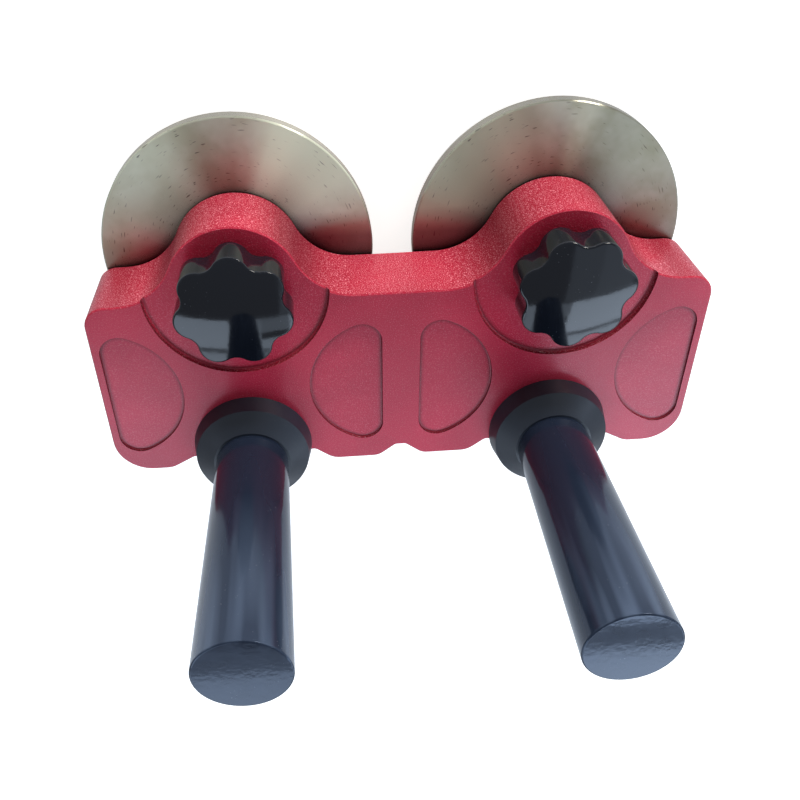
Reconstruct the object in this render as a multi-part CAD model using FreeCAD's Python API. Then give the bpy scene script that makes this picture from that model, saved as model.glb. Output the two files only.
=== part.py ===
import FreeCAD, Part
import math
import os

# Hand-held sheet metal edge bender with two disc units, millimetres.
# The tool stands on its rear discs with both handles pointing up. X runs from the
# left unit to the right one, Y from the handles towards the discs, Z up.
# The origin is on the floor, under the middle of the whole tool.

V = FreeCAD.Vector
UP = V(0, 0, 1)

# Discs, the size that sets the layout of the whole tool
front_disc_r = 50.7
front_disc_t = 6.0
rear_disc_step = 5.7          # how much smaller the rear disc is, on the radius
rear_disc_t = 6.0
sheet_gap = 1.5               # slot for the sheet between the two discs, knob tight
disc_face_edge = 0.5
disc_bend_r = 1.2             # rounded edges that the sheet bends over
body_gap = 1.0                # from the front disc to the back of the block
boss_r = 17.0                 # stop boss of the rear disc, in the sheet slot
boss_gap = 0.3                # from that boss to the front disc
front_hub_r = 18.0
front_hub_t = 3.8
front_pocket_r = 16.0
front_pocket_depth = 2.6
rear_pocket_r = 14.0
rear_pocket_depth = 4.2

# Layout, from the discs
disc_side_gap = 7.6           # from the edge of a front disc to the middle plane
handle_clear = 16.8           # from the edge of a front disc to the handle axis

# Body block
body_t = 31.5
body_edge = 0.5               # chamfer round both faces
body_side_cover = 3.5         # how far the block reaches past the front disc
shoulder_drop = 3.2           # flat shoulders, below the disc axes
shoulder_corner_r = 8.0
dome_wall = 2.9               # from the hub sleeve to the top of a dome
shoulder_flat = 3.7           # flat part between a dome's hollow and the corner
lobe_below_handle = 9.7       # lowest edge of the block, below the handle axes
lower_corner_r = 14.0
lobe_blend_r = 8.0
outer_lobe_run = 21.0         # from the block's side to where the outer slope starts
outer_lobe_slope = 28.6
inner_lobe_gap = 9.8          # from the handle seat to where the inner slope starts
inner_lobe_slope = 37.0
slope_inset = 10.0            # the slopes run on under the handle seat to here
slope_end_r = 1.0             # round the ends of the slopes, inside the seat
notch_half_width = 2.0
notch_lobe_x = 8.8
notch_depth = 5.2
notch_lobe_r = 6.0
notch_floor_r = 2.4
handle_seat_step = 1.5        # how far the collar stands out past its rounded seat
handle_seat_blend_r = 3.0

# Round recess round each knob
finger_room = 12.25           # from the knob to the wall of the recess
recess_depth = 1.8
recess_floor_r = 0.9

# D-shaped relief pockets
pocket_upper_margin = 10.65   # from the shoulders of the block
pocket_lower_margin = 8.15    # from the lowest edge of the block
pocket_middle_gap = 7.0       # from the middle plane to the nearest straight side
pocket_corner_r = 7.5
pocket_depth = 0.9
pocket_floor_r = 0.5

# Running fits and small clearances
run_fit = 0.05
end_play = 0.1
seat_fit = 0.05
loose_fit = 0.3
cutter_overshoot = 1.0        # how far a cutter reaches past the face that it opens

# Bronze bushes of the discs
bush_wall = 2.0
bush_flange_t = 1.1
bush_flange_w = 2.9

# Hub sleeve, fixed in the back of the block
journal_wall = 3.0
sleeve_flange_t = 5.0
sleeve_spigot_w = 3.0
sleeve_spigot_t = 3.0
hub_room = 4.0                # from the back of the block to the sleeve flange
sleeve_tail = 0.5             # from the rear disc's boss to the end of the sleeve

# Screws of the hub sleeve
hub_screw_count = 4
hub_screw_r = 1.5
hub_screw_head_r = 3.0
hub_screw_land = 1.0          # metal left on both sides of a screw head
hub_screw_length = 12.0
hub_screw_socket = 2.0

# Spindle
spindle_r = 7.0
spindle_tail_r = 6.0
spindle_thread_r = 5.0
spindle_collar_w = 3.0
spindle_collar_t = 2.0
spindle_end = 0.5             # end of the tail, above the floor
thread_end = 0.5              # threaded end, past the insert of the knob
gap_travel = 3.0              # how far the spindle moves when the knob is opened
spindle_edge = 0.5

# Feather key
key_width = 4.0
key_depth = 2.0
key_stand = 1.8
key_length = 4.2
key_side_gap = 0.05

# Spring that opens the gap
spring_turns = 3
spring_gap = 0.43             # between two turns, knob tight
spring_side_gap = 0.8         # between the spring and the spindle

# Guide bush and washer under the knob
guide_wall = 3.0
guide_length = 4.0
guide_flange_w = 3.0
guide_flange_t = 1.5
washer_r = 12.5
washer_t = 1.75

# Star knob
knob_r = 20.75
knob_lobe_rise = 3.15         # from the valleys between the lobes to their tips
knob_lobe_r = 6.5
knob_lobes = 7
knob_head_t = 12.4
knob_crown = 0.5
knob_edge_r = 0.7
knob_hub_r = 11.0
knob_hub_t = 2.2
knob_angles = (88.0, 60.0)    # where one lobe of the left and the right knob points
insert_r = 7.0
insert_length = 11.0
insert_groove = 0.5
knob_bore_spare = 1.5

# Retaining rings
front_ring_t = 1.2
front_ring_w = 3.2
rear_ring_t = 1.0
rear_ring_w = 2.6
ring_seat = 0.5               # depth of a ring groove
ring_side_gap = 0.05
ring_mouth = 5.0
ring_lug_r = 1.6
ring_hole_r = 0.8
thrust_washer_r = 10.0
thrust_washer_t = 0.8

# Handle
collar_r = 23.0
collar_front_r = 21.7
collar_side_t = 7.1
collar_cone_t = 4.8
collar_lip = 0.9              # rim left between the cone and the grip
grip_base_r = 13.8
grip_end_r = 15.6
grip_reach = 108.2            # from the front of the block to the end of the grip
grip_seat = 1.5               # how deep the grip sits in its collar
grip_edge_r = 0.6
grip_insert_r = 7.5
grip_insert_length = 32.0
grip_bore_spare = 3.0
bolt_r = 5.0
bolt_head_r = 8.0
bolt_head_t = 10.0
bolt_socket = 8.0
bolt_socket_depth = 5.0
bolt_thread = 25.0            # how far the bolt runs into the grip insert
bolt_sink = 0.5
bolt_washer_t = 1.6
bolt_head_gap = 0.75          # from the bolt head to its counterbore
bolt_washer_gap = 0.35        # from the washer to the counterbore

# Heights, from the floor up
rear_top_z = rear_disc_t
front_low_z = rear_top_z + sheet_gap
front_top_z = front_low_z + front_disc_t
back_z = front_top_z + body_gap
face_z = back_z + body_t
recess_z = face_z - recess_depth
boss_z = front_low_z - boss_gap
sleeve_low_z = boss_z + sleeve_tail
flange_low_z = back_z + hub_room
flange_top_z = flange_low_z + sleeve_flange_t
spigot_z = flange_top_z + sleeve_spigot_t
collar_low_z = spigot_z + gap_travel + loose_fit
collar_top_z = collar_low_z + spindle_collar_t
guide_top_z = recess_z
guide_flange_z = guide_top_z - guide_flange_t
guide_low_z = guide_flange_z - guide_length
washer_top_z = recess_z + washer_t
knob_low_z = washer_top_z + run_fit
head_low_z = knob_low_z + knob_hub_t
head_top_z = head_low_z + knob_head_t
key_top_z = spigot_z - end_play
key_low_z = key_top_z - key_length

# Sizes that follow from those above
rear_disc_r = front_disc_r - rear_disc_step
axis_offset = front_disc_r + disc_side_gap
handle_drop = front_disc_r + handle_clear
body_half_width = axis_offset + front_disc_r + body_side_cover
lobe_drop = handle_drop + lobe_below_handle
handle_seat_r = collar_r - handle_seat_step
recess_r = knob_r + finger_room
pocket_straight = axis_offset - pocket_middle_gap
pocket_r = (lobe_drop - shoulder_drop - pocket_upper_margin - pocket_lower_margin) / 2
pocket_drop = lobe_drop - pocket_lower_margin - pocket_r
journal_r = spindle_r + journal_wall
sleeve_spigot_r = journal_r + sleeve_spigot_w
sleeve_flange_r = sleeve_spigot_r + 2 * (hub_screw_head_r + hub_screw_land)
hub_screw_pitch_r = (sleeve_flange_r + sleeve_spigot_r) / 2
dome_r = sleeve_flange_r + dome_wall
hollow_reach = front_disc_r + body_side_cover - shoulder_corner_r - shoulder_flat
dome_hollow_r = (hollow_reach ** 2 + shoulder_drop ** 2 - dome_r ** 2) / 2 / (dome_r + shoulder_drop)
spindle_collar_r = spindle_r + spindle_collar_w
knob_valley_r = knob_r - knob_lobe_rise
counterbore_r = bolt_head_r + bolt_head_gap
bolt_washer_r = counterbore_r - bolt_washer_gap
spring_room = guide_low_z - collar_top_z
spring_wire_r = (spring_room - spring_turns * spring_gap) / (2 * spring_turns + 2)
spring_mean_r = spindle_r + spring_side_gap + spring_wire_r

# Positions on the floor plan
axis_y = (collar_r + handle_drop - front_disc_r) / 2
handle_y = axis_y - handle_drop
sides = (("left", -axis_offset), ("right", axis_offset))


def turned(profile):
    """A solid turned about Z from a closed run of (radius, height) points."""
    points = [V(r, 0, z) for r, z in profile]
    face = Part.Face(Part.makePolygon(points + points[:1]))
    return face.revolve(V(0, 0, 0), UP, 360)


def ring(outer, inner, low, high):
    """A plain ring between two radii and two heights."""
    return turned([(inner, low), (outer, low), (outer, high), (inner, high)])


def rod(radius, low, high):
    """A plain cylinder on the Z axis."""
    return Part.makeCylinder(radius, high - low, V(0, 0, low))


def hexagon(flats, low, high):
    """A six-sided bar, as wide across its flats as a key is."""
    corner = flats / 2 / math.cos(math.pi / 6)
    turns = [math.pi / 3 * i for i in range(7)]
    points = [V(corner * math.cos(a), corner * math.sin(a), low) for a in turns]
    return Part.Face(Part.makePolygon(points)).extrude(V(0, 0, high - low))


def at(shape, x, y):
    """A copy of a shape, moved on the floor plan."""
    moved = shape.copy()
    moved.translate(V(x, y, 0))
    return moved


def arc(centre, radius, start, end):
    """An arc about a centre, between two angles in degrees."""
    def point(angle):
        a = math.radians(angle)
        return centre + V(radius * math.cos(a), radius * math.sin(a), 0)
    return Part.Arc(point(start), point((start + end) / 2), point(end)).toShape()


def rounded_run(points):
    """Edges along an open run of (x, y, radius) points, its corners rounded."""
    edges = []
    last = V(points[0][0], points[0][1], 0)
    for before, here, after in zip(points, points[1:], points[2:]):
        corner = V(here[0], here[1], 0)
        to_before = (V(before[0], before[1], 0) - corner).normalize()
        to_after = (V(after[0], after[1], 0) - corner).normalize()
        half_turn = to_before.getAngle(to_after) / 2
        back = here[2] / math.tan(half_turn)
        first = corner + to_before * back
        second = corner + to_after * back
        inwards = (to_before + to_after).normalize()
        middle = corner + inwards * (here[2] / math.sin(half_turn) - here[2])
        edges.append(Part.makeLine(last, first))
        edges.append(Part.Arc(first, middle, second).toShape())
        last = second
    edges.append(Part.makeLine(last, V(points[-1][0], points[-1][1], 0)))
    return edges


def mirrored(edges):
    """The same edges on the other side of the tool's middle plane."""
    return [edge.mirror(V(0, 0, 0), V(1, 0, 0)) for edge in edges]


# Body block

shoulder_y = axis_y - shoulder_drop
lobe_y = axis_y - lobe_drop


def dome_edges():
    """The right-hand dome: an arc about the disc axis that two hollows touch."""
    hollow_y = shoulder_y + dome_hollow_r
    lean = math.degrees(math.atan2(hollow_y - axis_y, hollow_reach))
    outer = V(axis_offset + hollow_reach, hollow_y, 0)
    inner = V(axis_offset - hollow_reach, hollow_y, 0)
    return [
        arc(outer, dome_hollow_r, 270, 180 + lean),
        arc(V(axis_offset, axis_y, 0), dome_r, lean, 180 - lean),
        arc(inner, dome_hollow_r, -lean, -90),
    ]


def block(top_z):
    """The block's outline, extruded to a height, both rims chamfered."""
    dome = dome_edges()
    outer_lobe_x = body_half_width - outer_lobe_run
    inner_lobe_x = axis_offset - handle_seat_r - inner_lobe_gap
    outer_end_x = axis_offset + slope_inset
    inner_end_x = axis_offset - slope_inset
    outer_rise = (outer_lobe_x - outer_end_x) * math.tan(math.radians(outer_lobe_slope))
    inner_rise = (inner_end_x - inner_lobe_x) * math.tan(math.radians(inner_lobe_slope))
    lower = rounded_run([
        (axis_offset + hollow_reach, shoulder_y, 0),
        (body_half_width, shoulder_y, shoulder_corner_r),
        (body_half_width, lobe_y, lower_corner_r),
        (outer_lobe_x, lobe_y, lobe_blend_r),
        (outer_end_x, lobe_y + outer_rise, slope_end_r),
        (inner_end_x, lobe_y + inner_rise, slope_end_r),
        (inner_lobe_x, lobe_y, lobe_blend_r),
        (notch_lobe_x, lobe_y, notch_lobe_r),
        (notch_half_width, lobe_y + notch_depth, notch_floor_r),
        (0, lobe_y + notch_depth, 0),
    ])
    saddle_half = axis_offset - hollow_reach
    saddle = Part.makeLine(V(saddle_half, shoulder_y, 0), V(-saddle_half, shoulder_y, 0))
    edges = dome + lower + mirrored(dome + lower) + [saddle]
    wire = Part.Wire(Part.__sortEdges__(edges))
    height = top_z - back_z
    solid = Part.Face(wire).extrude(V(0, 0, height))
    for _, x in sides:
        solid = solid.fuse(Part.makeCylinder(handle_seat_r, height, V(x, handle_y, 0)))
    solid = solid.removeSplitter()
    blends = []
    for edge in solid.Edges:
        ends = [v.Point for v in edge.Vertexes]
        upright = len(ends) == 2 and abs(ends[0].z - ends[1].z) > height / 2
        foot = V(abs(ends[0].x) - axis_offset, ends[0].y - handle_y, 0)
        if upright and abs(foot.Length - handle_seat_r) < 0.01:
            blends.append(edge)
    solid = solid.makeFillet(handle_seat_blend_r, blends)
    rims = [e for e in solid.Edges if e.BoundBox.ZLength < 0.01]
    solid = solid.makeChamfer(body_edge, rims)
    solid.translate(V(0, 0, back_z))
    return solid


def recess_cutter():
    """Everything inside the round recess, with a rounded foot to its wall."""
    foot_r = recess_r - recess_floor_r
    low = back_z - cutter_overshoot
    high = face_z + cutter_overshoot
    centre = V(foot_r, 0, recess_z + recess_floor_r)
    start = V(foot_r, 0, recess_z)
    middle = centre + V(1, 0, -1).normalize() * recess_floor_r
    end = centre + V(recess_floor_r, 0, 0)
    edges = [
        Part.makeLine(V(0, 0, low), V(foot_r, 0, low)),
        Part.makeLine(V(foot_r, 0, low), start),
        Part.Arc(start, middle, end).toShape(),
        Part.makeLine(end, V(recess_r, 0, high)),
        Part.makeLine(V(recess_r, 0, high), V(0, 0, high)),
        Part.makeLine(V(0, 0, high), V(0, 0, low)),
    ]
    return Part.Face(Part.Wire(edges)).revolve(V(0, 0, 0), UP, 360)


def pocket_cutter():
    """A half disc with rounded corners, its flat side on x = 0, bulging to +X."""
    rise = math.sqrt(pocket_r ** 2 - 2 * pocket_r * pocket_corner_r)
    lean = math.degrees(math.atan2(rise, pocket_corner_r))
    edges = [
        Part.makeLine(V(0, rise, 0), V(0, -rise, 0)),
        arc(V(pocket_corner_r, -rise, 0), pocket_corner_r, 180, 360 - lean),
        arc(V(0, 0, 0), pocket_r, -lean, lean),
        arc(V(pocket_corner_r, rise, 0), pocket_corner_r, lean, 180),
    ]
    solid = Part.Face(Part.Wire(edges)).extrude(V(0, 0, pocket_depth + cutter_overshoot))
    floor = [e for e in solid.Edges if e.BoundBox.ZMax < 0.01]
    solid = solid.makeFillet(pocket_floor_r, floor)
    solid.translate(V(0, 0, face_z - pocket_depth))
    return solid


def unit_bore():
    """The stepped bore through the block on a disc axis."""
    mouth = sleeve_flange_r + body_edge
    guide_r = spindle_r + run_fit + guide_wall
    low = back_z - cutter_overshoot
    high = face_z + cutter_overshoot
    return turned([
        (0, low),
        (mouth, low),
        (mouth, back_z),
        (sleeve_flange_r, back_z + body_edge),
        (sleeve_flange_r, flange_top_z),
        (sleeve_spigot_r, flange_top_z),
        (sleeve_spigot_r, guide_low_z),
        (guide_r, guide_low_z),
        (guide_r, guide_flange_z),
        (guide_r + guide_flange_w, guide_flange_z),
        (guide_r + guide_flange_w, high),
        (0, high),
    ])


bolt_seat_z = back_z + bolt_sink + bolt_head_t + bolt_washer_t


def handle_bore():
    """The counterbored hole for a handle bolt."""
    low = back_z - cutter_overshoot
    high = face_z + cutter_overshoot
    return turned([
        (0, low),
        (counterbore_r + body_edge, low),
        (counterbore_r + body_edge, back_z),
        (counterbore_r, back_z + body_edge),
        (counterbore_r, bolt_seat_z),
        (bolt_r + loose_fit, bolt_seat_z),
        (bolt_r + loose_fit, high),
        (0, high),
    ])


def screw_places():
    """Where the hub sleeve's screws stand, about the disc axis."""
    turns = [math.tau * i / hub_screw_count + math.pi / 2 for i in range(hub_screw_count)]
    return [(hub_screw_pitch_r * math.cos(a), hub_screw_pitch_r * math.sin(a)) for a in turns]


def body():
    """The machined block that carries both units and both handles."""
    outside = block(face_z)
    floor = block(recess_z)
    for _, x in sides:
        outside = outside.cut(at(recess_cutter(), x, axis_y))
    solid = outside.fuse(floor).removeSplitter()
    for _, x in sides:
        solid = solid.cut(at(unit_bore(), x, axis_y))
        solid = solid.cut(at(handle_bore(), x, handle_y))
        hole_low = flange_top_z - cutter_overshoot
        hole = rod(hub_screw_r, hole_low, flange_low_z + hub_screw_length)
        for px, py in screw_places():
            solid = solid.cut(at(hole, x + px, axis_y + py))
        away = pocket_cutter()
        near = away.mirror(V(0, 0, 0), V(1, 0, 0))
        middle_y = axis_y - pocket_drop
        solid = solid.cut(at(away, x - pocket_straight, middle_y))
        solid = solid.cut(at(near, x + pocket_straight, middle_y))
    return solid


# Discs and their bushes

def front_disc():
    """The large disc with its hub, and a pocket underneath for the retaining ring."""
    bore = journal_r + run_fit + bush_wall
    hub_z = front_top_z + front_hub_t
    pocket_z = front_low_z + front_pocket_depth
    solid = turned([
        (front_pocket_r, front_low_z),
        (front_disc_r, front_low_z),
        (front_disc_r, front_top_z - disc_face_edge),
        (front_disc_r - disc_face_edge, front_top_z),
        (front_hub_r, front_top_z),
        (front_hub_r, hub_z - disc_face_edge),
        (front_hub_r - disc_face_edge, hub_z),
        (bore, hub_z),
        (bore, pocket_z),
        (front_pocket_r, pocket_z),
    ])
    return bend_edge(solid, front_disc_r, front_low_z)


def bend_edge(solid, radius, height):
    """Rounds the edge of a disc that the sheet bends over."""
    rims = [
        e for e in solid.Edges
        if abs(e.BoundBox.XMax - radius) < 0.01
        and e.BoundBox.ZLength < 0.01
        and abs(e.BoundBox.ZMax - height) < 0.01
    ]
    return solid.makeFillet(disc_bend_r, rims)


def front_disc_bush():
    """The flanged bush pressed into the front disc."""
    inner = journal_r + run_fit
    outer = inner + bush_wall
    hub_z = front_top_z + front_hub_t
    return turned([
        (inner, front_low_z + front_pocket_depth),
        (outer, front_low_z + front_pocket_depth),
        (outer, hub_z),
        (outer + bush_flange_w, hub_z),
        (outer + bush_flange_w, flange_low_z - end_play),
        (inner, flange_low_z - end_play),
    ])


def rear_disc():
    """The smaller disc with its stop boss, and a pocket underneath."""
    bore = spindle_tail_r + run_fit + bush_wall
    solid = turned([
        (rear_pocket_r, 0),
        (rear_disc_r - disc_face_edge, 0),
        (rear_disc_r, disc_face_edge),
        (rear_disc_r, rear_top_z),
        (boss_r, rear_top_z),
        (boss_r, boss_z - boss_gap),
        (boss_r - boss_gap, boss_z),
        (bore, boss_z),
        (bore, rear_pocket_depth),
        (rear_pocket_r, rear_pocket_depth),
    ])
    return bend_edge(solid, rear_disc_r, rear_top_z)


def rear_disc_bush():
    """The flanged bush pressed into the rear disc from below."""
    inner = spindle_tail_r + run_fit
    outer = inner + bush_wall
    flange_z = rear_pocket_depth - bush_flange_t
    return turned([
        (inner, flange_z),
        (outer + bush_flange_w, flange_z),
        (outer + bush_flange_w, rear_pocket_depth),
        (outer, rear_pocket_depth),
        (outer, boss_z),
        (inner, boss_z),
    ])


thrust_top_z = rear_pocket_depth - bush_flange_t - end_play
rear_ring_z = thrust_top_z - thrust_washer_t - rear_ring_t
front_ring_z = front_low_z + front_pocket_depth - end_play - front_ring_t


def rear_thrust_washer():
    """The washer between the rear disc's bush and the retaining ring."""
    low = thrust_top_z - thrust_washer_t
    return ring(thrust_washer_r, spindle_tail_r + run_fit, low, thrust_top_z)


def retaining_ring(shaft_r, width, low, thickness):
    """An open snap ring that fits a groove, with two eyes at its mouth."""
    inner = shaft_r - ring_seat
    outer = inner + width
    high = low + thickness
    solid = ring(outer, inner, low, high)
    eye_x = ring_mouth / 2 + ring_lug_r
    eye_y = -math.sqrt((outer - ring_lug_r / 2) ** 2 - eye_x ** 2)
    for x in (-eye_x, eye_x):
        solid = solid.fuse(at(rod(ring_lug_r, low, high), x, eye_y))
    mouth = Part.makeBox(ring_mouth, 2 * outer, thickness, V(-ring_mouth / 2, -2 * outer, low))
    solid = solid.cut(mouth).cut(rod(inner, low, high))
    for x in (-eye_x, eye_x):
        solid = solid.cut(at(rod(ring_hole_r, low, high), x, eye_y))
    return solid.removeSplitter()


# Hub sleeve and its screws

def hub_sleeve():
    """The fixed journal of the front disc, which also guides the spindle."""
    bore = spindle_r + run_fit
    groove_r = journal_r - ring_seat
    groove_low = front_ring_z - ring_side_gap
    groove_high = front_ring_z + front_ring_t + ring_side_gap
    solid = turned([
        (bore, sleeve_low_z),
        (groove_r, sleeve_low_z),
        (journal_r, sleeve_low_z + ring_seat),
        (journal_r, groove_low),
        (groove_r, groove_low),
        (groove_r, groove_high),
        (journal_r, groove_high),
        (journal_r, flange_low_z),
        (sleeve_flange_r - seat_fit, flange_low_z),
        (sleeve_flange_r - seat_fit, flange_top_z),
        (sleeve_spigot_r - seat_fit, flange_top_z),
        (sleeve_spigot_r - seat_fit, spigot_z),
        (bore, spigot_z),
    ])
    slot_low = key_low_z - gap_travel - loose_fit
    slot = Part.makeBox(
        spindle_r + key_stand + loose_fit,
        key_width + 2 * key_side_gap,
        spigot_z - slot_low,
        V(0, -key_width / 2 - key_side_gap, slot_low),
    )
    solid = solid.cut(slot)
    for x, y in screw_places():
        solid = solid.cut(at(hub_screw(seat_fit), x, y))
    return solid


def hub_screw(room):
    """A countersunk screw, or with some room round it the hole that it fits."""
    head = hub_screw_head_r + room
    shank = hub_screw_r + room
    return turned([
        (0, flange_low_z),
        (head, flange_low_z),
        (shank, flange_low_z + head - shank),
        (shank, flange_low_z + hub_screw_length),
        (0, flange_low_z + hub_screw_length),
    ])


def hub_screws():
    """The set of screws that hold one hub sleeve."""
    screw = hub_screw(0).cut(hexagon(hub_screw_socket, flange_low_z, flange_low_z + hub_screw_r))
    return Part.makeCompound([at(screw, x, y) for x, y in screw_places()])


# Spindle, key and spring

def key_block(low, high):
    """The feather key's own block, let into the spindle."""
    foot = spindle_r - key_depth
    return Part.makeBox(
        key_depth + key_stand, key_width, high - low, V(foot, -key_width / 2, low)
    )


def spindle():
    """The sliding shaft that draws the rear disc towards the front one."""
    groove_r = spindle_tail_r - ring_seat
    groove_low = rear_ring_z - ring_side_gap
    groove_high = rear_ring_z + rear_ring_t + ring_side_gap
    shoulder = boss_z + end_play
    thread_z = knob_low_z
    top = knob_low_z + insert_length + thread_end
    solid = turned([
        (0, spindle_end),
        (spindle_tail_r - spindle_edge, spindle_end),
        (spindle_tail_r, spindle_end + spindle_edge / 2),
        (spindle_tail_r, groove_low),
        (groove_r, groove_low),
        (groove_r, groove_high),
        (spindle_tail_r, groove_high),
        (spindle_tail_r, shoulder),
        (spindle_r, shoulder),
        (spindle_r, collar_low_z),
        (spindle_collar_r, collar_low_z),
        (spindle_collar_r, collar_top_z),
        (spindle_r, collar_top_z),
        (spindle_r, thread_z - end_play),
        (spindle_thread_r, thread_z - end_play),
        (spindle_thread_r, top - spindle_edge),
        (spindle_thread_r - spindle_edge, top),
        (0, top),
    ])
    return solid.cut(key_block(key_low_z, key_top_z))


def arc_between(start, start_way, end, end_way):
    """Two arcs that leave one point and reach another in given directions."""
    chord = end - start
    both = start_way + end_way
    spread = 2 * (1 - start_way.dot(end_way))
    along = chord.dot(both)
    reach = (math.sqrt(along ** 2 + spread * chord.dot(chord)) - along) / spread
    first_apex = start + start_way * reach
    second_apex = end - end_way * reach
    joint = (first_apex + second_apex) / 2
    edges = []
    for a, apex, b in ((start, first_apex, joint), (joint, second_apex, end)):
        middle = (a + b) / 2
        rise = apex - middle
        half_chord = (b - a).Length / 2
        tangent_angle = math.atan2(rise.Length, half_chord)
        sagitta = half_chord * math.tan(tangent_angle / 2)
        edges.append(Part.Arc(a, middle + rise.normalize() * sagitta, b).toShape())
    return edges


def gap_spring():
    """A compression spring between the spindle's collar and the guide bush."""
    low = collar_top_z + spring_wire_r
    high = guide_low_z - spring_wire_r
    pitch = (high - low) / spring_turns
    rise = pitch / math.tau

    def place(turn):
        a = math.tau * turn
        return V(
            spring_mean_r * math.cos(a), spring_mean_r * math.sin(a), low + pitch * turn
        )

    def heading(turn):
        a = math.tau * turn
        return V(-spring_mean_r * math.sin(a), spring_mean_r * math.cos(a), rise).normalize()

    edges = []
    halves = 2 * spring_turns
    for i in range(halves):
        a = i / 2
        b = (i + 1) / 2
        edges += arc_between(place(a), heading(a), place(b), heading(b))
    path = Part.Wire(edges)
    section = Part.Wire(Part.makeCircle(spring_wire_r, place(0), heading(0)))
    print("gap spring, least gap between turns", round(pitch - 2 * spring_wire_r, 2), "mm")
    return path.makePipeShell([section], True, False)


# Guide bush, washer and knob

def guide_bush():
    """The flanged bush that steadies the spindle, flush with the recess floor."""
    inner = spindle_r + run_fit
    outer = inner + guide_wall
    return turned([
        (inner, guide_low_z),
        (outer, guide_low_z),
        (outer, guide_flange_z),
        (outer + guide_flange_w, guide_flange_z),
        (outer + guide_flange_w, guide_top_z),
        (inner, guide_top_z),
    ])


def knob_washer():
    """The hard washer that the knob bears on."""
    return ring(washer_r, spindle_r + loose_fit, recess_z, washer_top_z)


def lobed_outline():
    """A closed wire of lobes, each joined to the next by a hollow arc."""
    lobe_centre = knob_r - knob_lobe_r
    half = math.pi / knob_lobes
    # Hollow radius h for which the hollow touches both lobes beside it and its
    # bottom lies on the valley radius.
    gap = lobe_centre ** 2 + knob_valley_r ** 2
    gap -= 2 * lobe_centre * knob_valley_r * math.cos(half) + knob_lobe_r ** 2
    share = 2 * (knob_lobe_r - knob_valley_r + lobe_centre * math.cos(half))
    hollow_r = gap / share
    hollow_centre = knob_valley_r + hollow_r

    def spot(radius, angle):
        return V(radius * math.cos(angle), radius * math.sin(angle), 0)

    edges = []
    for i in range(knob_lobes):
        a = 2 * half * i
        lobe = spot(lobe_centre, a)
        before = spot(hollow_centre, a - half)
        after = spot(hollow_centre, a + half)
        start = lobe + (before - lobe).normalize() * knob_lobe_r
        end = lobe + (after - lobe).normalize() * knob_lobe_r
        following = spot(lobe_centre, a + 2 * half)
        next_start = following + (after - following).normalize() * knob_lobe_r
        edges.append(Part.Arc(start, spot(knob_r, a), end).toShape())
        edges.append(Part.Arc(end, spot(knob_valley_r, a + half), next_start).toShape())
    return Part.Wire(Part.__sortEdges__(edges))


def star_knob(angle):
    """A lobed head with a slightly crowned face on a round hub."""
    head = Part.Face(lobed_outline()).extrude(V(0, 0, knob_head_t))
    head.translate(V(0, 0, head_low_z))
    crown_r = (knob_r ** 2 + knob_crown ** 2) / (2 * knob_crown)
    ball = Part.makeSphere(crown_r, V(0, 0, head_top_z - crown_r))
    head = head.common(ball)
    rim = [e for e in head.Edges if e.BoundBox.ZLength < knob_head_t / 2]
    head = head.makeFillet(knob_edge_r, rim)
    head.rotate(V(0, 0, 0), UP, angle)
    hub = rod(knob_hub_r, knob_low_z, head_low_z + cutter_overshoot)
    insert_z = knob_low_z + insert_length
    spare = rod(spindle_thread_r + loose_fit, knob_low_z, insert_z + knob_bore_spare)
    return head.fuse(hub).removeSplitter().cut(knob_insert(0)).cut(spare)


def knob_insert(bore):
    """The threaded insert moulded into a knob; with no bore, the space it fills."""
    low = knob_low_z
    high = low + insert_length
    third = insert_length / 3
    waist = insert_r - insert_groove
    outside = [
        (insert_r, low),
        (insert_r, low + third),
        (waist, low + third + insert_groove),
        (waist, high - third - insert_groove),
        (insert_r, high - third),
        (insert_r, high),
    ]
    return turned([(bore, low)] + outside + [(bore, high)])


# Handle

def handle_collar():
    """The hand guard: a short drum that closes in to the grip."""
    lip_r = grip_base_r + collar_lip
    high = face_z + collar_side_t + collar_cone_t
    socket_z = high - grip_seat
    socket_r = grip_base_r + seat_fit
    return turned([
        (bolt_r + loose_fit, face_z),
        (collar_r, face_z),
        (collar_front_r, face_z + collar_side_t),
        (lip_r, high),
        (socket_r, high),
        (socket_r, socket_z),
        (bolt_r + loose_fit, socket_z),
    ])


grip_low_z = face_z + collar_side_t + collar_cone_t - grip_seat


def grip():
    """The tapered grip, a little thicker at its free end."""
    high = face_z + grip_reach
    insert_z = grip_low_z + grip_insert_length
    solid = turned([
        (0, insert_z + grip_bore_spare),
        (bolt_r + loose_fit, insert_z + grip_bore_spare),
        (bolt_r + loose_fit, insert_z),
        (grip_insert_r, insert_z),
        (grip_insert_r, grip_low_z),
        (grip_base_r, grip_low_z),
        (grip_end_r, high),
        (0, high),
    ])
    rims = [
        e for e in solid.Edges
        if abs(e.BoundBox.ZMin - high) < 0.01 and e.BoundBox.XMax > grip_insert_r
    ]
    return solid.makeFillet(grip_edge_r, rims)


def grip_insert():
    """The threaded insert in the foot of a grip."""
    return ring(grip_insert_r, bolt_r + run_fit, grip_low_z, grip_low_z + grip_insert_length)


def handle_washer():
    """The washer under the head of a handle bolt."""
    return ring(bolt_washer_r, bolt_r + loose_fit, bolt_seat_z - bolt_washer_t, bolt_seat_z)


def handle_bolt():
    """A socket-head bolt, put in from the back of the block."""
    low = back_z + bolt_sink
    head_z = low + bolt_head_t
    end = grip_low_z + bolt_thread
    solid = turned([
        (0, low),
        (bolt_head_r - spindle_edge, low),
        (bolt_head_r, low + spindle_edge),
        (bolt_head_r, head_z),
        (bolt_r, head_z),
        (bolt_r, end - spindle_edge),
        (bolt_r - spindle_edge, end),
        (0, end),
    ])
    return solid.cut(hexagon(bolt_socket, low, low + bolt_socket_depth))


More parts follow.
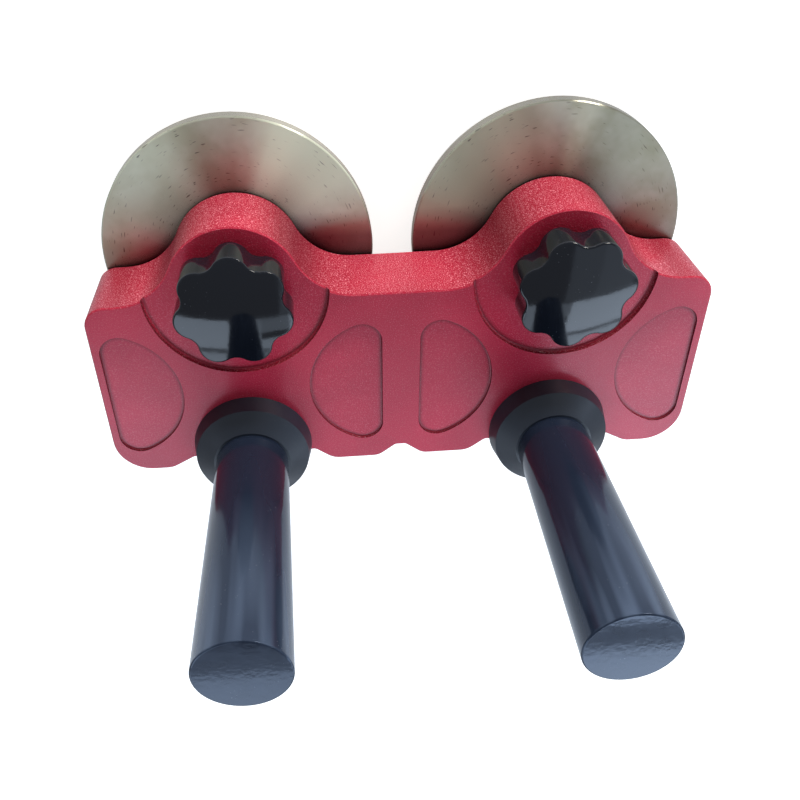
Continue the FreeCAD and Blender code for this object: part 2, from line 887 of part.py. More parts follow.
def main():
    os.makedirs("parts", exist_ok=True)
    pieces = {"body": body()}
    for (side, x), angle in zip(sides, knob_angles):
        on_disc_axis = {
            "front_disc": front_disc(),
            "front_disc_bush": front_disc_bush(),
            "front_retaining_ring": retaining_ring(
                journal_r, front_ring_w, front_ring_z, front_ring_t
            ),
            "rear_disc": rear_disc(),
            "rear_disc_bush": rear_disc_bush(),
            "rear_thrust_washer": rear_thrust_washer(),
            "rear_retaining_ring": retaining_ring(
                spindle_tail_r, rear_ring_w, rear_ring_z, rear_ring_t
            ),
            "hub_sleeve": hub_sleeve(),
            "hub_screws": hub_screws(),
            "spindle": spindle(),
            "spindle_key": key_block(key_low_z, key_top_z),
            "gap_spring": gap_spring(),
            "guide_bush": guide_bush(),
            "knob_washer": knob_washer(),
            "star_knob": star_knob(angle),
            "knob_insert": knob_insert(spindle_thread_r + run_fit),
        }
        on_handle_axis = {
            "handle_collar": handle_collar(),
            "grip": grip(),
            "grip_insert": grip_insert(),
            "handle_washer": handle_washer(),
            "handle_bolt": handle_bolt(),
        }
        for name, shape in on_disc_axis.items():
            pieces[side + "_" + name] = at(shape, x, axis_y)
        for name, shape in on_handle_axis.items():
            pieces[side + "_" + name] = at(shape, x, handle_y)
    for name, shape in pieces.items():
        shape.exportStep(os.path.join("parts", name + ".step"))
        print(name, len(shape.Solids), "solid(s)", round(shape.Volume), "mm3", shape.isValid())


main()
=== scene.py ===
"""Looks of the hand-held sheet metal edge bender, laid out as an add-on.

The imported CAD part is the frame: its nodes keep their shape and place, and the operators
below give each group of them its finish. The stage operator adds floor, lights and camera.
"""

import math

import bpy
from bpy.props import FloatProperty, FloatVectorProperty, PointerProperty
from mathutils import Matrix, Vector


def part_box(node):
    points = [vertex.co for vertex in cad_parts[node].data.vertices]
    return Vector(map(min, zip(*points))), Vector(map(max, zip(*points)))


bl_info = {
    "name": "Edge Bender Finishes",
    "version": (1, 0, 0),
    "blender": (4, 5, 0),
    "location": "3D View > Sidebar > Edge Bender",
    "description": "Finishes, floor, lights and camera for a two-disc sheet metal edge bender",
    "category": "3D View",
}

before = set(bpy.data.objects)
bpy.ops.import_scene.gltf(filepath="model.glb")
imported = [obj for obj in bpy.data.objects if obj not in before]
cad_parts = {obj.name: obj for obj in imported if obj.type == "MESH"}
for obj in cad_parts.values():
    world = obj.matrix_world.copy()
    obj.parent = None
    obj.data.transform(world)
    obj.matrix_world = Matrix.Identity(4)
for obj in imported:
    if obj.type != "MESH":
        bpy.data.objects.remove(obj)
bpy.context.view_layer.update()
SIDES = ("left", "right")
MM = 0.001

# What differs between the discs of the two units: the right-hand ones are duller and warmer.
# tone multiplies the colour of the steel, and lift then that of its pale fans, which are
# painted reflections. fans is how many of these there are and first_deg the angle of the first.
# They follow a wave from -1 to 1: a fan starts to show where it passes faint, and is whole at
# full. thin and outer are how metallic the surface stays under a pale fan and near the edge.
DISC_LOOKS = {
    "left": {
        "tone": (1.0, 1.0, 1.0), "lift": (1.12, 1.16, 1.1), "fans": 4.0, "first_deg": 50.0,
        "faint": -0.9, "full": 0.4, "thin": 0.48, "outer": 0.72},
    "right": {
        "tone": (0.7, 0.66, 0.63), "lift": (1.36, 1.42, 1.36), "fans": 2.0, "first_deg": 138.0,
        "faint": -0.3, "full": 0.9, "thin": 0.78, "outer": 0.92},
}

# The lamps hang under a ceiling or stand round the tool. Lengths are in metres.
CEILING = 1.5
LAMP_AIM = Vector((0.0, 0.0, 0.06))
LAMP_DISTANCE = 1.6
DAYLIGHT = "D6E9FF"
BULB = "FFF9F0"
# Name, range along X, range along Y and share of the group's brightness. What the knobs, grip
# ends and pockets mirror gives the windows their outlines.
WINDOWS = (
    ("near_outer", (-1.6, -0.3), (-1.7, -0.93), 1.3),
    ("between", (-1.6, 2.2), (-1.87, -1.75), 0.3),
    ("near_left", (-0.1, 0.12), (-1.75, -0.93), 0.9),
    ("near_middle", (0.12, 0.53), (-1.25, -0.93), 0.55),
    ("bright_outer", (-0.75, -0.45), (-1.68, -1.4), 1.5),
    ("bright_middle", (0.12, 0.5), (-1.75, -1.42), 1.1),
    ("near_right", (0.53, 2.2), (-1.75, -0.93), 1.75),
    ("far_outer", (-1.6, 0.12), (-2.7, -1.87), 1.1),
    ("far_middle", (0.12, 0.45), (-2.7, -1.87), 0.8),
    ("far_right", (0.45, 2.2), (-2.7, -1.87), 1.5),
)
CEILING_PANELS = (
    ("ceiling_middle", (0.39, 0.82), (-0.9, -0.05), 0.68),
    ("ceiling_right", (0.82, 1.5), (-0.9, -0.05), 0.95),
)
SIDE_PANELS = (
    ("side_left", (-2.9, -1.7), (-0.8, 0.8), 0.2),
    ("side_right", (1.7, 2.9), (-0.8, 0.8), 0.65),
)

# The camera that was fitted to the photograph: place in metres, turn in degrees, and shift as
# a share of the picture's width.
SENSOR_WIDTH = 36.0
CAMERA_PLACE = (-0.029103, 0.16434, 0.31047)
CAMERA_TURN = (-37.0631, -3.4557, -1.6314)
CAMERA_SHIFT = (0.0593, 0.0191)
CAMERA_CLIP = (0.01, 50.0)


def linear(code):
    """An sRGB hex colour as linear red, green and blue."""
    parts = [int(code[i:i + 2], 16) / 255 for i in (0, 2, 4)]
    return tuple(c / 12.92 if c <= 0.04045 else ((c + 0.055) / 1.055) ** 2.4 for c in parts)


def scaled(colour, *factors):
    """A colour with each part multiplied by its own factor, or all by the same one."""
    return tuple(part * factor for part, factor in zip(colour, factors * (3 // len(factors))))


def add(tree, kind, inputs=None, **settings):
    """Adds a node, sets its own settings, and fills or links its inputs by name or number."""
    node = tree.nodes.new(kind)
    for name, value in settings.items():
        setattr(node, name, value)
    for name, value in (inputs or {}).items():
        if isinstance(value, bpy.types.NodeSocket):
            tree.links.new(value, node.inputs[name])
        else:
            node.inputs[name].default_value = value
    return node


def disc_axis(side):
    """The point where a disc axis meets the plane that the closed tool stands on."""
    low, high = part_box(side + "_front_disc")
    return Vector(((low.x + high.x) / 2, (low.y + high.y) / 2, 0.0))


def dress(material, *nodes):
    """Gives a material to the CAD nodes of these names on both sides, or to the body."""
    for name in nodes:
        names = [name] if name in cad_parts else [side + "_" + name for side in SIDES]
        for found in names:
            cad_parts[found].material_slots[0].material = material


def new_material(name):
    """An empty node material with its output and its shader joined."""
    material = bpy.data.materials.new(name)
    material.use_nodes = True
    tree = material.node_tree
    tree.nodes.clear()
    shader = add(tree, "ShaderNodeBsdfPrincipled")
    add(tree, "ShaderNodeOutputMaterial", {"Surface": shader.outputs[0]})
    return material, tree, shader


def fill(shader, **values):
    """Sets sockets of a shader; underscores in a name stand for spaces."""
    for name, value in values.items():
        shader.inputs[name.replace("_", " ")].default_value = value


def place(tree, centre=(0.0, 0.0, 0.0)):
    """Object coordinates counted from a point, in metres."""
    spot = add(tree, "ShaderNodeTexCoord").outputs["Object"]
    moved = add(tree, "ShaderNodeVectorMath", {0: spot, 1: tuple(centre)}, operation="SUBTRACT")
    return moved.outputs[0]


def noise(tree, where, size_mm, detail=2.0, roughness=0.5):
    """A noise whose blotches are about size_mm across, from 0 to 1."""
    node = add(tree, "ShaderNodeTexNoise", {
        "Vector": where, "Scale": 1 / (size_mm * MM), "Detail": detail, "Roughness": roughness,
    })
    return node.outputs["Fac"]


def spread(tree, value, low, high, to_low, to_high):
    """Maps a value from one range to another and holds it there."""
    node = add(tree, "ShaderNodeMapRange", {
        "Value": value, "From Min": low, "From Max": high, "To Min": to_low, "To Max": to_high,
    })
    return node.outputs["Result"]


def blend(tree, share, first, second):
    """Mixes two colours, each given in linear light or as a socket."""
    def full(colour):
        return colour if isinstance(colour, bpy.types.NodeSocket) else (*colour, 1.0)
    node = add(tree, "ShaderNodeMix", {0: share, 6: full(first), 7: full(second)}, data_type="RGBA")
    return node.outputs[2]


def maths(tree, operation, first, second=0.0):
    """One sum on one or two numbers or sockets."""
    return add(tree, "ShaderNodeMath", {0: first, 1: second}, operation=operation).outputs[0]


def bump(tree, height, depth_mm, normal=None):
    """A bump of that depth, on top of another bump if one is given."""
    inputs = {"Height": height, "Distance": depth_mm * MM, "Strength": 1.0}
    if normal is not None:
        inputs["Normal"] = normal
    return add(tree, "ShaderNodeBump", inputs).outputs["Normal"]


def facing(tree):
    """The X, Y and Z parts of the direction that a surface faces."""
    normal = add(tree, "ShaderNodeNewGeometry").outputs["True Normal"]
    return add(tree, "ShaderNodeSeparateXYZ", {0: normal}).outputs


def level(tree):
    """How far a surface lies level: 1 on a top or an underside, 0 on an upright wall."""
    return maths(tree, "ABSOLUTE", facing(tree)[2])


class BenderFinish(bpy.types.PropertyGroup):
    """Colours and marks of the tool's surfaces."""
    body_red: FloatVectorProperty(
        name="Body", description="Dye of the anodised block", subtype="COLOR", size=3,
        min=0.0, max=1.0, default=linear("C22B45"))
    blast_grain: FloatProperty(
        name="Blast grain", description="Width of the grains that show on the blasted block",
        unit="LENGTH", default=0.38 * MM)
    disc_steel: FloatVectorProperty(
        name="Discs", description="Ground stainless steel of the discs", subtype="COLOR", size=3,
        min=0.0, max=1.0, default=linear("E2E7D4"))
    grinding_pitch: FloatProperty(
        name="Grinding pitch", description="Distance between the round marks on the discs",
        unit="LENGTH", default=0.5 * MM)
    knob_black: FloatVectorProperty(
        name="Knobs", description="Moulded phenolic of the star knobs", subtype="COLOR", size=3,
        min=0.0, max=1.0, default=linear("0F1219"))
    grip_black: FloatVectorProperty(
        name="Grips", description="Polished plastic of the grips", subtype="COLOR", size=3,
        min=0.0, max=1.0, default=linear("171E2C"))
    collar_black: FloatVectorProperty(
        name="Guards", description="Satin plastic of the hand guards", subtype="COLOR", size=3,
        min=0.0, max=1.0, default=linear("1A212D"))


class BenderStage(bpy.types.PropertyGroup):
    """Floor, lights and camera."""
    floor_white: FloatVectorProperty(
        name="Floor", description="Paper under the tool", subtype="COLOR", size=3,
        min=0.0, max=1.0, default=linear("F4F4F3"))
    floor_drop: FloatProperty(
        name="Floor drop", unit="LENGTH", default=3.0 * MM,
        description="How far the paper lies below the closed tool, as room for the opened discs")
    floor_half: FloatProperty(
        name="Floor half width", description="Half the width of the paper",
        unit="LENGTH", default=4.0)
    room_light: FloatProperty(
        name="Room light", description="Brightness of the even light from all round", default=0.32)
    window_light: FloatProperty(
        name="Window light", description="Brightness of the windows behind the handles",
        default=2.8)
    ceiling_light: FloatProperty(
        name="Ceiling light", description="Brightness of the panels above the tool", default=0.8)
    side_light: FloatProperty(
        name="Side light", description="Brightness of the panels far to the left and right",
        default=3.0)
    key_light: FloatProperty(
        name="Key light", description="Brightness of the large soft lamp on the disc side",
        default=60.0)
    glint_light: FloatProperty(
        name="Glint light", description="Brightness of the small lamp that edges and discs catch",
        default=42.0)
    lens: FloatProperty(
        name="Lens", description="Focal length in millimetres, on a 36 mm wide sensor",
        default=38.46)


def anodised_aluminium(finish):
    """Milled aluminium, bead blasted and dyed red: satin, with grains that glint, helped by painted
    glints and painted shade.
    """
    material, tree, shader = new_material("red_anodised_aluminium")
    # Metal under a sealed oxide film. The film adds a pale sheen over the red. The grains carry
    # painted glints and painted shade, stronger on the outer walls than on the finer front.
    fill(shader, Metallic=0.4, Specular_IOR_Level=0.0, Coat_Roughness=0.26, Coat_IOR=1.6)
    front_film, wall_film = 0.58, 0.45
    front_grain, wall_grain, flank_grain = 0.12, 0.85, 0.5
    where = place(tree)
    # The grains are drawn coarser than real blasting, which is too fine to show.
    grain = noise(tree, where, finish.blast_grain / MM, 1.0)
    cloud = noise(tree, where, 35.0, 2.0)
    wall = spread(tree, level(tree), 0.3, 0.8, 1.0, 0.0)
    red = tuple(finish.body_red)
    colour = blend(tree, spread(tree, cloud, 0.35, 0.65, 0.0, 1.0), scaled(red, 0.8), red)
    # Painted shade: the flanks and the outer shoulders are painted darker than the domes and the
    # saddle between them, where less light falls.
    shoulders_from, shoulders_at = 0.09, 0.1
    aside = maths(tree, "ABSOLUTE", add(tree, "ShaderNodeSeparateXYZ", {0: where}).outputs[0])
    shaded_side = maths(
        tree, "MAXIMUM", spread(tree, facing(tree)[1], 0.7, 0.98, 1.0, 0.0),
        spread(tree, aside, shoulders_from, shoulders_at, 0.0, 0.8))
    flank_shade = maths(tree, "MULTIPLY", wall, shaded_side)
    colour = blend(tree, flank_shade, colour, scaled(red, 0.5))
    grain_light_share = maths(
        tree, "MULTIPLY", spread(tree, wall, 0.0, 1.0, front_grain, wall_grain),
        spread(tree, flank_shade, 0.0, 1.0, 1.0, flank_grain))
    # Painted shade on dark grains and painted highlights on pale pink grains: light that single
    # grains catch or miss.
    grain_shade = maths(tree, "MULTIPLY", spread(tree, grain, 0.28, 0.46, 0.65, 0.0), grain_light_share)
    colour = blend(tree, grain_shade, colour, scaled(red, 0.3))
    glint = maths(tree, "MULTIPLY", spread(tree, grain, 0.55, 0.72, 0.0, 1.0), grain_light_share)
    colour = blend(tree, glint, colour, linear("FFB2C0"))
    # Painted shade, drawn from ambient occlusion, darkens the corners of the pockets and recesses.
    corner_reach = 2.0 * MM
    open_share = add(
        tree, "ShaderNodeAmbientOcclusion", {"Distance": corner_reach}, samples=8,
        only_local=True).outputs["AO"]
    corner_shade = spread(tree, open_share, 0.6, 0.98, 0.95, 0.0)
    colour = blend(tree, corner_shade, colour, linear("2C0810"))
    tree.links.new(colour, shader.inputs["Base Color"])
    tree.links.new(
        spread(tree, wall, 0.0, 1.0, front_film, wall_film), shader.inputs["Coat Weight"])
    tree.links.new(spread(tree, grain, 0.3, 0.7, 0.56, 0.46), shader.inputs["Roughness"])
    tree.links.new(bump(tree, grain, 0.2), shader.inputs["Normal"])
    return material


def ground_steel(name, side, finish):
    """Stainless steel disc: round grinding marks on its faces and a polished side wall."""
    material, tree, shader = new_material(name)
    look = DISC_LOOKS[side]
    where = place(tree, disc_axis(side))
    parts = add(tree, "ShaderNodeSeparateXYZ", {0: where}).outputs
    flat = add(tree, "ShaderNodeCombineXYZ", {0: parts[0], 1: parts[1], 2: 0.0}).outputs[0]
    radius = add(tree, "ShaderNodeVectorMath", {0: flat}, operation="LENGTH").outputs["Value"]
    angle = maths(tree, "ARCTAN2", parts[1], parts[0])
    # Grinding marks run round the disc: fine across the radius, long along the angle. They are
    # drawn coarser than the real ones. Each number is the pattern's length per radian, in metres.
    mark_run, pit_run = 0.004, 0.0067
    along = maths(tree, "MULTIPLY", angle, mark_run)
    track = add(tree, "ShaderNodeCombineXYZ", {0: radius, 1: along, 2: parts[2]}).outputs[0]
    marks = noise(tree, track, finish.grinding_pitch / MM, 3.0, 0.6)
    stain = noise(tree, where, 17.0, 3.0, 0.6)
    steel = scaled(finish.disc_steel, *look["tone"])
    brown = scaled(steel, 0.74, 0.72, 0.64)
    pale = scaled(steel, *look["lift"])
    colour = blend(tree, spread(tree, stain, 0.38, 0.62, 0.0, 1.0), steel, brown)
    # Painted reflections: a few faint fans round the face, painted paler and browner by turns.
    outwards = add(tree, "ShaderNodeVectorMath", {0: flat}, operation="NORMALIZE").outputs[0]
    fan_noise = add(tree, "ShaderNodeTexNoise", {"Vector": outwards, "Scale": 3.5, "Detail": 1.0})
    past_first = maths(tree, "SUBTRACT", angle, math.radians(look["first_deg"]))
    waves = maths(tree, "COSINE", maths(tree, "MULTIPLY", past_first, look["fans"]))
    uneven = maths(
        tree, "MULTIPLY", maths(tree, "SUBTRACT", fan_noise.outputs["Fac"], 0.5), 1.2)
    fan_share = maths(tree, "ADD", waves, uneven)
    # The pale ones are fainter on the side that faces away from the other disc.
    spot = add(tree, "ShaderNodeSeparateXYZ", {0: place(tree)}).outputs
    aside = maths(tree, "ABSOLUTE", spot[0])
    most_pale = 0.95
    pale_share = maths(
        tree, "MULTIPLY", spread(tree, fan_share, look["faint"], look["full"], 0.0, most_pale),
        spread(tree, aside, 0.055, 0.1, 1.0, 0.35))
    colour = blend(tree, pale_share, colour, pale)
    colour = blend(tree, spread(tree, fan_share, -1.2, -0.5, 0.5, 0.0), colour, brown)
    # The steel is made less metallic under the painted pale fans, and on the outer part of each
    # disc, so that some of the light scatters.
    bare = maths(
        tree, "MULTIPLY", spread(tree, pale_share, 0.0, most_pale, 1.0, look["thin"]),
        spread(tree, radius, 0.034, 0.047, 1.0, look["outer"]))
    tree.links.new(bare, shader.inputs["Metallic"])
    # Painted shade: the steel beside the saddle of the block is painted darker, where the block
    # shades it.
    saddle_shade = maths(
        tree, "MULTIPLY", spread(tree, aside, 0.04, 0.075, 1.0, 0.0),
        spread(tree, spot[1], 0.024, 0.034, 1.0, 0.0))
    colour = blend(tree, maths(tree, "MULTIPLY", saddle_shade, 0.7), colour, linear("5A5458"))
    # Small dark pits, drawn out along the marks.
    pit_along = maths(tree, "MULTIPLY", angle, pit_run)
    pit_place = add(tree, "ShaderNodeCombineXYZ", {0: radius, 1: pit_along, 2: 0.0}).outputs[0]
    pits = noise(tree, pit_place, 0.55, 0.0)
    patch = noise(tree, where, 16.0, 1.0)
    pit_share = maths(
        tree, "MULTIPLY",
        spread(tree, pits, 0.73, 0.79, 0.0, 0.75), spread(tree, patch, 0.4, 0.55, 0.0, 1.0))
    colour = blend(tree, pit_share, colour, linear("4A443C"))
    # Painted shade, drawn from ambient occlusion: the steel beside the gap to the block is painted
    # dark at the gap and a brownish grey further out.
    gap_shade_reach = 14.0 * MM
    open_share = add(
        tree, "ShaderNodeAmbientOcclusion", {"Distance": gap_shade_reach}, samples=8).outputs["AO"]
    colour = blend(tree, spread(tree, open_share, 0.5, 0.98, 0.6, 0.0), colour, linear("5E4A50"))
    colour = blend(tree, spread(tree, open_share, 0.46, 0.58, 0.9, 0.0), colour, linear("1D191C"))
    # The side wall of a disc is polished, with no marks.
    wall_rough, least_rough, most_rough = 0.22, 0.31, 0.39
    face = spread(tree, level(tree), 0.5, 0.9, 0.0, 1.0)
    colour = blend(tree, face, linear("A5A39A"), colour)
    tree.links.new(colour, shader.inputs["Base Color"])
    rough = spread(tree, marks, 0.3, 0.7, least_rough, most_rough)
    tree.links.new(spread(tree, face, 0.0, 1.0, wall_rough, rough), shader.inputs["Roughness"])
    tree.links.new(
        bump(tree, maths(tree, "MULTIPLY", marks, face), 0.006), shader.inputs["Normal"])
    # The marks run round the disc, so they spread a reflection along the radius on its faces
    # and along the axis on its side wall.
    across = add(
        tree, "ShaderNodeMix", {0: face, 4: (0.0, 0.0, 1.0), 5: outwards}, data_type="VECTOR")
    turned = add(
        tree, "ShaderNodeVectorTransform", {0: across.outputs[1]},
        vector_type="VECTOR", convert_from="OBJECT", convert_to="WORLD")
    tree.links.new(turned.outputs[0], shader.inputs["Tangent"])
    fill(shader, Anisotropic=1.0)
    return material


def moulded(
        name, colour, roughness, speck_mm, sheen=0.5, crown=None, tint="FFFFFF", lighter_ends=False):
    """A black moulding: gloss or satin, with a faint orange peel and a few dust specks.

    With crown, a length in metres, the reflections on top of each knob bend as on a dome of
    that radius about the knob's own axis. A grip with lighter ends is painted lighter in
    streaks towards its upper end: painted reflections.
    """
    material, tree, shader = new_material(name)
    where = place(tree)
    parts = add(tree, "ShaderNodeSeparateXYZ", {0: where}).outputs
    peel = noise(tree, where, 2.2, 2.0)
    specks = noise(tree, where, speck_mm, 0.0)
    dusty = noise(tree, where, 16.0, 1.0)
    share = maths(
        tree, "MULTIPLY",
        spread(tree, specks, 0.82, 0.86, 0.0, 0.35), spread(tree, dusty, 0.52, 0.64, 0.0, 1.0))
    wiped = spread(tree, noise(tree, where, 9.0, 3.0), 0.35, 0.7, 0.85, 1.25)
    rough = maths(tree, "MULTIPLY", wiped, roughness)
    if lighter_ends:
        # Painted reflection: the grip is painted lighter, in streaks, from halfway up to its end,
        # where it is whole; heights are in metres above the plane that the tool stands on, and the
        # end face gets little of it. The end face was moulded smoother than the tapered side.
        light_from, light_whole = 0.09, 0.152
        end_face_light, end_rough = 0.15, 0.4
        stretched = add(
            tree, "ShaderNodeVectorMath", {0: where, 1: (1.0, 1.0, 0.08)}, operation="MULTIPLY")
        light_streaks = noise(tree, stretched.outputs[0], 5.5, 1.0)
        end_light = maths(
            tree, "MULTIPLY", spread(tree, parts[2], light_from, light_whole, 0.0, 1.0),
            spread(tree, light_streaks, 0.38, 0.62, 0.15, 1.0))
        end_light = maths(tree, "MULTIPLY", end_light, spread(tree, level(tree), 0.5, 0.9, 1.0, end_face_light))
        colour = blend(tree, end_light, colour, linear("3B4658"))
        rough = maths(tree, "MULTIPLY", rough, spread(tree, level(tree), 0.5, 0.9, 1.0, end_rough))
    tree.links.new(blend(tree, share, colour, linear("8E9299")), shader.inputs["Base Color"])
    tree.links.new(rough, shader.inputs["Roughness"])
    dome = None
    if crown:
        # A dome of radius R falls by r * r / (2 R) at a distance r from its axis.
        axis = disc_axis("right")
        across = maths(tree, "SUBTRACT", maths(tree, "ABSOLUTE", parts[0]), axis.x)
        along = maths(tree, "SUBTRACT", parts[1], axis.y)
        squares = maths(
            tree, "ADD", maths(tree, "MULTIPLY", across, across),
            maths(tree, "MULTIPLY", along, along))
        dome = bump(tree, maths(tree, "MULTIPLY", squares, -0.5 / crown), 1 / MM)
    tree.links.new(bump(tree, peel, 0.01, dome), shader.inputs["Normal"])
    fill(shader, Specular_IOR_Level=sheen, Specular_Tint=(*linear(tint), 1.0))
    return material


def turned_metal(name, light, dark, roughness, grain_mm):
    """Small steel, bronze and brass parts: fine turning marks and a slight stain."""
    material, tree, shader = new_material(name)
    where = place(tree)
    parts = add(tree, "ShaderNodeSeparateXYZ", {0: where}).outputs
    layers = add(tree, "ShaderNodeCombineXYZ", {
        0: maths(tree, "MULTIPLY", parts[0], 0.1), 1: maths(tree, "MULTIPLY", parts[1], 0.1),
        2: parts[2]}).outputs[0]
    marks = noise(tree, layers, grain_mm, 2.0)
    stain = noise(tree, where, 4.0, 3.0)
    colour = blend(tree, spread(tree, stain, 0.3, 0.7, 0.0, 1.0), linear(light), linear(dark))
    tree.links.new(colour, shader.inputs["Base Color"])
    tree.links.new(
        spread(tree, marks, 0.3, 0.7, roughness * 0.8, roughness * 1.2), shader.inputs["Roughness"])
    tree.links.new(bump(tree, marks, 0.008), shader.inputs["Normal"])
    fill(shader, Metallic=1.0)
    return material


class BENDER_OT_body(bpy.types.Operator):
    """Finishes the machined block"""
    bl_idname = "bender.body"
    bl_label = "Finish the block"

    def execute(self, context):
        dress(anodised_aluminium(context.scene.bender_finish), "body")
        return {"FINISHED"}


class BENDER_OT_discs(bpy.types.Operator):
    """Finishes the front and rear discs"""
    bl_idname = "bender.discs"
    bl_label = "Finish the discs"

    def execute(self, context):
        for side in SIDES:
            steel = ground_steel(
                side + "_ground_stainless_steel", side, context.scene.bender_finish)
            dress(steel, side + "_front_disc", side + "_rear_disc")
        return {"FINISHED"}


class BENDER_OT_knobs(bpy.types.Operator):
    """Finishes the star knobs"""
    bl_idname = "bender.knobs"
    bl_label = "Finish the knobs"

    def execute(self, context):
        black = tuple(context.scene.bender_finish.knob_black)
        knob = moulded("polished_black_phenolic", black, 0.08, 0.5, 0.43, crown=0.114)
        dress(knob, "star_knob")
        return {"FINISHED"}


class BENDER_OT_handles(bpy.types.Operator):
    """Finishes the grips and the hand guards"""
    bl_idname = "bender.handles"
    bl_label = "Finish the handles"

    def execute(self, context):
        finish = context.scene.bender_finish
        grip = moulded(
            "polished_black_plastic", tuple(finish.grip_black), 0.14, 0.5, 0.42,
            tint="C3D8FA", lighter_ends=True)
        collar = moulded("satin_black_plastic", tuple(finish.collar_black), 0.42, 0.3, 0.6)
        dress(grip, "grip")
        dress(collar, "handle_collar")
        return {"FINISHED"}


class BENDER_OT_small_parts(bpy.types.Operator):
    """Finishes the bushes, rings, springs, screws and shafts"""
    bl_idname = "bender.small_parts"
    bl_label = "Finish the small parts"

    def execute(self, context):
        dress(turned_metal("sintered_bronze", "B98A4E", "8F6637", 0.5, 0.3),
              "front_disc_bush", "rear_disc_bush", "guide_bush")
        dress(turned_metal("phosphated_spring_steel", "3B3B3C", "26262A", 0.55, 0.3),
              "front_retaining_ring", "rear_retaining_ring")
        dress(turned_metal("oiled_spring_wire", "8E8E90", "6A6A6C", 0.3, 0.4), "gap_spring")
        dress(turned_metal("zinc_plate", "C4C7CB", "A9AEB4", 0.28, 0.3),
              "rear_thrust_washer", "knob_washer", "handle_washer")
        dress(turned_metal("turned_steel", "ABABAA", "8B8B8B", 0.25, 0.25),
              "hub_sleeve", "spindle", "spindle_key")
        dress(turned_metal("black_oxide_steel", "2A2A2C", "1C1C1E", 0.4, 0.3),
              "hub_screws", "handle_bolt")
        dress(turned_metal("turned_brass", "CBA45C", "A88243", 0.3, 0.25),
              "knob_insert", "grip_insert")
        return {"FINISHED"}


def area_lamp(name, width, height, brightness, colour):
    """A rectangular lamp, as bright to look at as a surface of that radiance."""
    data = bpy.data.lights.new(name, "AREA")
    data.shape = "RECTANGLE"
    data.size = width
    data.size_y = height
    data.energy = brightness * math.pi * width * height
    data.color = linear(colour)
    thing = bpy.data.objects.new(name, data)
    bpy.context.scene.collection.objects.link(thing)
    return thing


def roof_panels(panels, brightness):
    """Level lamps under the ceiling, each between two places along X and two along Y."""
    for name, x_range, y_range, share in panels:
        panel = area_lamp(
            name, x_range[1] - x_range[0], y_range[1] - y_range[0], brightness * share, DAYLIGHT)
        panel.location = (sum(x_range) / 2, sum(y_range) / 2, CEILING)


def lamp(name, azimuth, elevation, wide, high, brightness):
    """A soft rectangular lamp that faces the tool.

    Its direction is an azimuth, counted from the handle side towards the right-hand unit, and
    an elevation above the floor; both of these and its width and height are angles in degrees.
    """
    a, e = math.radians(azimuth), math.radians(elevation)
    way = Vector((math.sin(a) * math.cos(e), -math.cos(a) * math.cos(e), math.sin(e)))
    size = [2 * LAMP_DISTANCE * math.tan(math.radians(angle) / 2) for angle in (wide, high)]
    thing = area_lamp(name, *size, brightness, BULB)
    thing.location = LAMP_AIM + way * LAMP_DISTANCE
    thing.rotation_euler = (-way).to_track_quat("-Z", "Y").to_euler()
    return thing


def white_paper(stage):
    """White paper that keeps its shadows and shows white to the camera."""
    material, tree, shader = new_material("white_paper")
    seen, mirrored = 0.76, 0.15
    white = (*tuple(stage.floor_white), 1.0)
    fibres = noise(tree, place(tree), 1.5, 3.0)
    fill(shader, Roughness=0.9, Emission_Color=white)
    tree.links.new(
        blend(tree, spread(tree, fibres, 0.3, 0.7, 0.0, 0.04), white[:3], linear("E2E2E0")),
        shader.inputs["Base Color"])
    ray = add(tree, "ShaderNodeLightPath").outputs
    tree.links.new(
        maths(
            tree, "ADD", maths(tree, "MULTIPLY", ray["Is Camera Ray"], seen),
            maths(tree, "MULTIPLY", ray["Is Glossy Ray"], mirrored)),
        shader.inputs["Emission Strength"])
    return material


def lay_floor(context, stage):
    """A square of paper, low enough for the opened discs."""
    half, low = stage.floor_half, -stage.floor_drop
    mesh = bpy.data.meshes.new("paper")
    mesh.from_pydata(
        [(-half, -half, low), (half, -half, low), (half, half, low), (-half, half, low)],
        [], [(0, 1, 2, 3)])
    mesh.materials.append(white_paper(stage))
    floor = bpy.data.objects.new("paper", mesh)
    context.scene.collection.objects.link(floor)


def light_room(context, stage):
    """Even light from all round, white to the camera."""
    world = bpy.data.worlds.new("room")
    context.scene.world = world
    world.use_nodes = True
    tree = world.node_tree
    tree.nodes.clear()
    seen = add(tree, "ShaderNodeLightPath").outputs["Is Camera Ray"]
    strength = maths(
        tree, "ADD", stage.room_light, maths(tree, "MULTIPLY", seen, 1.0 - stage.room_light))
    shade = blend(tree, seen, linear("EEF1F6"), linear("FFFFFF"))
    back = add(tree, "ShaderNodeBackground", {"Color": shade, "Strength": strength})
    add(tree, "ShaderNodeOutputWorld", {"Surface": back.outputs[0]})


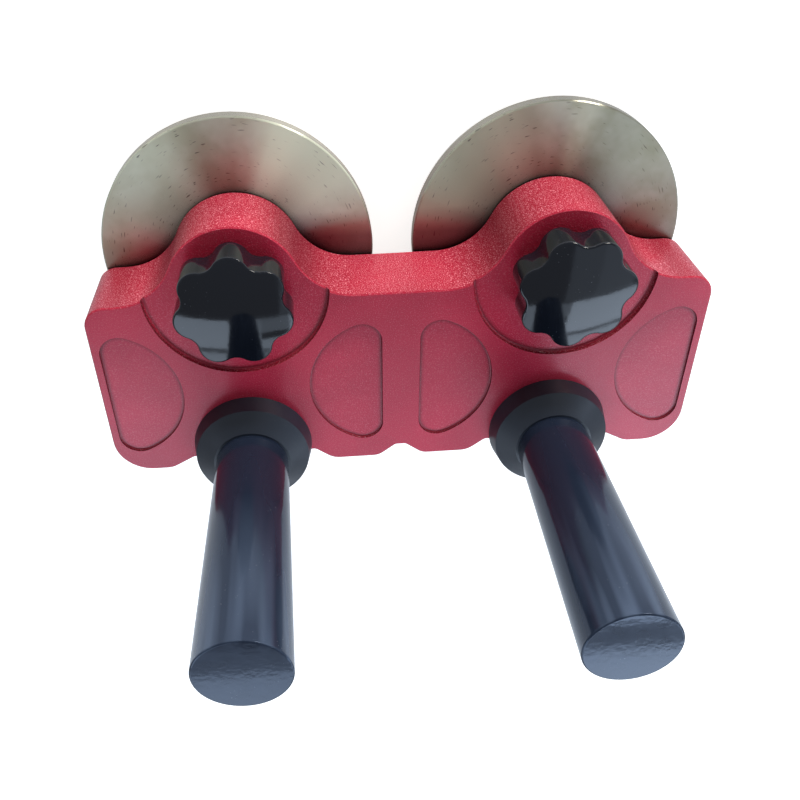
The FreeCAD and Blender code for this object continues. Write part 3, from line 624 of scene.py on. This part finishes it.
def set_camera(context, stage):
    """The camera at the photograph's place and angle."""
    data = bpy.data.cameras.new("camera")
    data.sensor_width = SENSOR_WIDTH
    data.lens = stage.lens
    data.shift_x, data.shift_y = CAMERA_SHIFT
    data.clip_start, data.clip_end = CAMERA_CLIP
    camera = bpy.data.objects.new("camera", data)
    camera.location = CAMERA_PLACE
    camera.rotation_euler = [math.radians(a) for a in CAMERA_TURN]
    context.scene.collection.objects.link(camera)
    context.scene.camera = camera


class BENDER_OT_stage(bpy.types.Operator):
    """Lays the floor and sets the lights, the room and the camera"""
    bl_idname = "bender.stage"
    bl_label = "Set the stage"

    def execute(self, context):
        stage = context.scene.bender_stage
        lay_floor(context, stage)
        light_room(context, stage)
        roof_panels(WINDOWS, stage.window_light)
        roof_panels(CEILING_PANELS, stage.ceiling_light)
        roof_panels(SIDE_PANELS, stage.side_light)
        # The key lights the walls but isn't seen in the metal, and the glint lamp is.
        lamp("key", 172, 5, 30, 8, stage.key_light).visible_glossy = False
        lamp("glint", 147, 6, 14, 6, stage.glint_light)
        set_camera(context, stage)
        context.scene.view_settings.view_transform = "Standard"
        return {"FINISHED"}


class BENDER_PT_panel(bpy.types.Panel):
    """Lists the finishes, the stage and their buttons"""
    bl_idname = "BENDER_PT_panel"
    bl_label = "Edge Bender"
    bl_space_type = "VIEW_3D"
    bl_region_type = "UI"
    bl_category = "Edge Bender"

    def draw(self, context):
        layout = self.layout
        for group in (context.scene.bender_finish, context.scene.bender_stage):
            box = layout.box()
            for name in group.__annotations__:
                box.prop(group, name)
        for operator in OPERATORS:
            layout.operator(operator.bl_idname)


OPERATORS = (
    BENDER_OT_body, BENDER_OT_discs, BENDER_OT_knobs, BENDER_OT_handles,
    BENDER_OT_small_parts, BENDER_OT_stage,
)
CLASSES = (BenderFinish, BenderStage, *OPERATORS, BENDER_PT_panel)


def register():
    for cls in CLASSES:
        bpy.utils.register_class(cls)
    bpy.types.Scene.bender_finish = PointerProperty(type=BenderFinish)
    bpy.types.Scene.bender_stage = PointerProperty(type=BenderStage)


def unregister():
    del bpy.types.Scene.bender_stage
    del bpy.types.Scene.bender_finish
    for cls in reversed(CLASSES):
        bpy.utils.unregister_class(cls)


def main():
    register()
    bpy.ops.bender.body()
    bpy.ops.bender.discs()
    bpy.ops.bender.knobs()
    bpy.ops.bender.handles()
    bpy.ops.bender.small_parts()
    bpy.ops.bender.stage()


if __name__ == "__main__":
    main()
